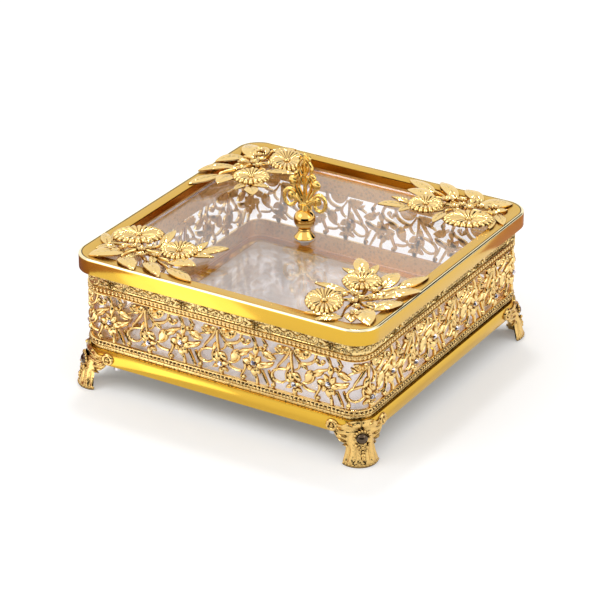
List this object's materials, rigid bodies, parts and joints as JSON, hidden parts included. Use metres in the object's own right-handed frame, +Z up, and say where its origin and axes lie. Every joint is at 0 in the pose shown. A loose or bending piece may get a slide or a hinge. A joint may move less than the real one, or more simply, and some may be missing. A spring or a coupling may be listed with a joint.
{
  "type": "turkish delight box",
  "caption": "Square footed box for sweets: pierced gilt gallery with set stones, clear liner, and a lift-off glazed lid with corner flower sprays and a palmette knob.",
  "frame": {"origin": "on the table, under the middle of the box", "axes": "+Z up, -Y towards the front side, +X towards the right side"},
  "size_m": [0.2032, 0.2032, 0.1343],
  "materials": {
    "gilt_cast": "polished",
    "gilt_sheet": "polished",
    "gilt_mirror": "mirror polished",
    "floor_sheet": "satin",
    "clear_glass": "clear",
    "cut_stone": "faceted, foil backed",
    "screw_steel": "plain",
    "gasket_rubber": "matt"
  },
  "bodies": {
    "box": {"base_rim": "gilt_sheet", "floor_panel": "floor_sheet", "liner_tub": "clear_glass", "foot_screws": "screw_steel", "foot_front_right": "gilt_cast", "foot_back_right": "gilt_cast", "foot_back_left": "gilt_cast", "foot_front_left": "gilt_cast", "gallery_front": "gilt_cast", "stones_front": "cut_stone", "gallery_right": "gilt_cast", "stones_right": "cut_stone", "gallery_back": "gilt_cast", "stones_back": "cut_stone", "gallery_left": "gilt_cast", "stones_left": "cut_stone"},
    "lid": {"lid_frame": "gilt_sheet", "lid_pane": "clear_glass", "pane_clips": "gilt_sheet", "spray_front_right": "gilt_cast", "spray_back_right": "gilt_cast", "spray_back_left": "gilt_cast", "spray_front_left": "gilt_cast", "spray_rivets": "gilt_cast", "knob_gasket": "gasket_rubber", "knob_collar": "gilt_cast", "knob_ball": "gilt_mirror", "knob_palmette": "gilt_cast", "knob_washer": "screw_steel", "knob_screw": "screw_steel"}
  },
  "joints": [
    {"name": "lid_lift", "type": "slide", "parent": "box", "child": "lid", "axis": [0, 0, 1], "range_m": [0, 0.12]}
  ]
}
